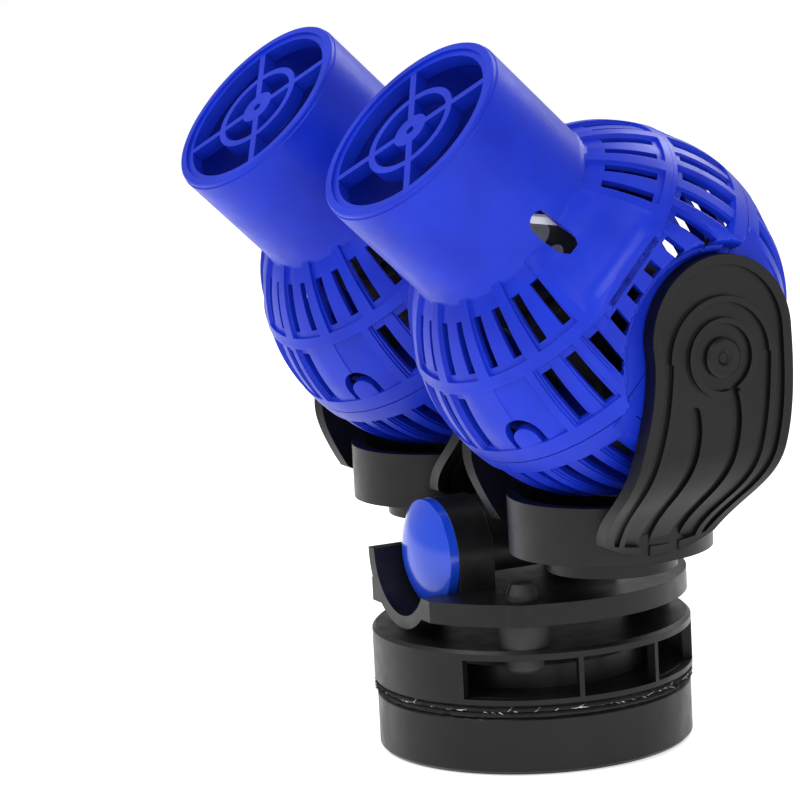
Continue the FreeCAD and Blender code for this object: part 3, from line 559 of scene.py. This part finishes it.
def rear_part():
    depths = [SEAM - 0.1, 9.5, 9.0, 8.3, 7.7, 7.1, 6.45, 6.35, 5.6] + span(4.6, -16.4, 1.4)
    depths += [-17.0, -17.55, -17.65, -18.6, -20.0, -21.4, -22.8, REAR + 0.4]
    edge = math.sqrt(BALL ** 2 - (REAR - CENTRE) ** 2)
    back = []
    for r in (edge, edge - 0.5, 11.0, 10.9, 8.0, 7.9, 5.4, GLAND_HOLE):
        drop = 0.4 if 8.0 <= r <= 10.95 else 0.0
        back.append((REAR + drop, r, REAR + WALL, max(GLAND_HOLE, r - 0.3), -1.0, 0.0))
    return ring_shell(depths, ((6.4, SEAM), (REAR, -17.6)), rear_slot, False, back)


UPPER = front_upper()
LOWER = front_lower()
REAR_SHELL = rear_part()

for side in SIDES:
    tilt = JOINTS[side + "_tilt"]
    across = Vector(tilt["axis"]).normalized()
    ahead = Vector(JOINTS[side + "_rotor_spin"]["axis"]).normalized()
    upward = ahead.cross(across)
    place = Matrix((across, upward, ahead)).transposed().to_4x4()
    place.translation = Vector(tilt["pos_m"])
    body = side + "_head"
    front = merge(UPPER, LOWER)
    cage = mesh_object(side + "_front_cage_ribbed", *front, "blue_plastic", body, place, bevel=0.1)
    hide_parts(side + "_front_cage")
    cage = mesh_object(side + "_rear_cage_ribbed", *REAR_SHELL, "blue_plastic", body, place, bevel=0.1)
    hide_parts(side + "_rear_cage")


# ---- fuzzy grip pads ----

PAD_R = 32.6
ROOT_R = 32.3
GLINT_R = 32.7
GLINT_Z = (13.05, 13.3)
BULGE_AT = 215
HAIRS = 1500
GLINTS = 110


def fibre(rng, root, direction, length, thick):
    """A thin bent three-sided hair that tapers to its tip."""
    side = Vector((rng.uniform(-1, 1), rng.uniform(-1, 1), rng.uniform(-1, 1)))
    first = direction.cross(side).normalized()
    second = direction.cross(first).normalized()
    bend = (first * rng.uniform(-0.5, 0.5) + second * rng.uniform(-0.5, 0.5)) * length
    points = []
    for share, width in ((0.0, 1.0), (0.55, 0.8)):
        spot = root + direction * length * share + bend * share ** 2
        for corner in range(3):
            turn = corner * 2 * math.pi / 3
            points.append(spot + (first * math.cos(turn) + second * math.sin(turn)) * thick * width)
    points.append(root + direction * length + bend)
    faces = [(2, 1, 0)] + [(a, (a + 1) % 3, (a + 1) % 3 + 3, a + 3) for a in range(3)]
    faces += [(a + 3, (a + 1) % 3 + 3, 6) for a in range(3)]
    return [tuple(point) for point in points], faces


def fuzz_pad(seed, low, high, count):
    """A felt disc with a ragged edge and loose hairs, longest where the pad bulges at the left."""
    rng = random.Random(seed)
    steps = 220
    edge = [PAD_R + rng.uniform(-0.25, 0.2) for _ in range(steps)]
    points, faces = [(0, 0, low), (0, 0, high)], []
    for k in range(steps):
        angle = 2 * math.pi * k / steps
        for z, shift in ((low, -0.15), ((low + high) / 2, 0.12), (high, -0.15)):
            r = edge[k] + shift
            points.append((r * math.cos(angle), r * math.sin(angle), z))
    for k in range(steps):
        a, b = 2 + 3 * k, 2 + 3 * ((k + 1) % steps)
        faces += [(0, b, a), (1, a + 2, b + 2), (a, b, b + 1, a + 1), (a + 1, b + 1, b + 2, a + 2)]
    parts = [(points, faces)]
    for _ in range(count):
        angle = rng.uniform(0, 2 * math.pi)
        bulge = max(0.0, math.cos(angle - math.radians(BULGE_AT))) ** 6
        out = Vector((math.cos(angle), math.sin(angle), rng.uniform(-0.7, 0.7))).normalized()
        root = Vector((ROOT_R * math.cos(angle), ROOT_R * math.sin(angle),
                       rng.uniform(low + 0.08, high - 0.08)))
        parts.append(fibre(rng, root, out, rng.uniform(0.4, 0.9) + 0.7 * bulge, rng.uniform(0.03, 0.06)))
    return merge(*parts)


for name, body, seed in (("outer_grip_pad", "outer_half", 3), ("inner_grip_pad", "inner_half", 8)):
    low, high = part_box(name)
    pad = mesh_object(name + "_fuzz", *fuzz_pad(seed, low.z / MM, high.z / MM, HAIRS), "grip_pad", body,
                      smooth_angle=60)
    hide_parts(name)

# Painted glints: small pale glossy pieces along the seam between the pads, put where the hook-and-loop catches
# reflections.
rng = random.Random(21)
painted_glints = []
for _ in range(GLINTS):
    angle = rng.uniform(0, 2 * math.pi)
    around = Vector((-math.sin(angle), math.cos(angle), rng.uniform(-0.35, 0.35))).normalized()
    spot = Vector((GLINT_R * math.cos(angle), GLINT_R * math.sin(angle), rng.uniform(*GLINT_Z)))
    painted_glints.append(fibre(rng, spot, around, rng.uniform(0.5, 2.0), rng.uniform(0.05, 0.11)))
glints = mesh_object("pad_edge_glints", *merge(*painted_glints), "grip_pad", "inner_half", smooth_angle=60)
glints.data.materials.clear()
glints.data.materials.append(GLINT)


# ---- camera, floor and light ----

def look(azimuth, elevation, distance, roll, target_shift, height):
    azimuth, elevation, roll = (math.radians(v) for v in (azimuth, elevation, roll))
    back = Vector((math.sin(azimuth) * math.cos(elevation), -math.cos(azimuth) * math.cos(elevation),
                   math.sin(elevation)))
    right = Vector((math.cos(azimuth), math.sin(azimuth), 0))
    up = back.cross(right)
    turned_right = right * math.cos(roll) + up * math.sin(roll)
    turned_up = up * math.cos(roll) - right * math.sin(roll)
    matrix = Matrix((turned_right, turned_up, back)).transposed().to_4x4()
    matrix.translation = right * target_shift + Vector((0, 0, height)) + back * distance
    return matrix


camera = bpy.data.objects.new("camera", bpy.data.cameras.new("camera"))
bpy.context.scene.collection.objects.link(camera)
camera.data.sensor_width = 36
camera.data.lens = 171.06
camera.data.clip_start = 0.01
camera.matrix_world = look(azimuth=65.272, elevation=9.551, distance=0.7802, roll=-3.017,
                           target_shift=-0.02477, height=0.07194)
bpy.context.scene.camera = camera


def area_light(name, spot, size, power, aim=(0, 0, 0.08)):
    light = bpy.data.objects.new(name, bpy.data.lights.new(name, "AREA"))
    light.data.shape = "DISK"
    light.data.size = size
    light.data.energy = power
    light.location = spot
    light.rotation_euler = (Vector(aim) - Vector(spot)).to_track_quat("-Z", "Y").to_euler()
    bpy.context.scene.collection.objects.link(light)


area_light("key", (0.05, -0.55, 0.75), size=0.45, power=4.2)
area_light("fill", (0.85, -0.10, 0.45), size=0.60, power=2.4)
area_light("rim", (-0.35, 0.60, 0.60), size=0.50, power=3.2)

floor_mesh = bpy.data.meshes.new("floor")
floor_mesh.from_pydata([(-6, -6, 0), (6, -6, 0), (6, 6, 0), (-6, 6, 0)], [], [(0, 1, 2, 3)])
floor = bpy.data.objects.new("floor", floor_mesh)
floor.location.z = cad_box[0][2] - 0.0002
bpy.context.scene.collection.objects.link(floor)
paint, nodes, links = new_material("pale_floor")
nodes["Principled BSDF"].inputs["Base Color"].default_value = (0.86, 0.86, 0.86, 1)
nodes["Principled BSDF"].inputs["Roughness"].default_value = 0.8
glow = nodes.new("ShaderNodeEmission")
glow.inputs["Strength"].default_value = 0.55
both = nodes.new("ShaderNodeAddShader")
links.new(nodes["Principled BSDF"].outputs[0], both.inputs[0])
links.new(glow.outputs[0], both.inputs[1])
links.new(both.outputs[0], nodes["Material Output"].inputs["Surface"])
floor_mesh.materials.append(paint)

world = bpy.data.worlds.new("studio")
world.use_nodes = True
nodes, links = world.node_tree.nodes, world.node_tree.links
soft = nodes["Background"]
soft.inputs["Color"].default_value = (1, 1, 1, 1)
soft.inputs["Strength"].default_value = 0.5
plain = nodes.new("ShaderNodeBackground")
plain.inputs["Color"].default_value = (1, 1, 1, 1)
choice = nodes.new("ShaderNodeMixShader")
links.new(nodes.new("ShaderNodeLightPath").outputs["Is Camera Ray"], choice.inputs[0])
links.new(soft.outputs[0], choice.inputs[1])
links.new(plain.outputs[0], choice.inputs[2])
links.new(choice.outputs[0], nodes["World Output"].inputs["Surface"])
bpy.context.scene.world = world
bpy.context.scene.view_settings.view_transform = "Standard"

bpy.context.view_layer.update()
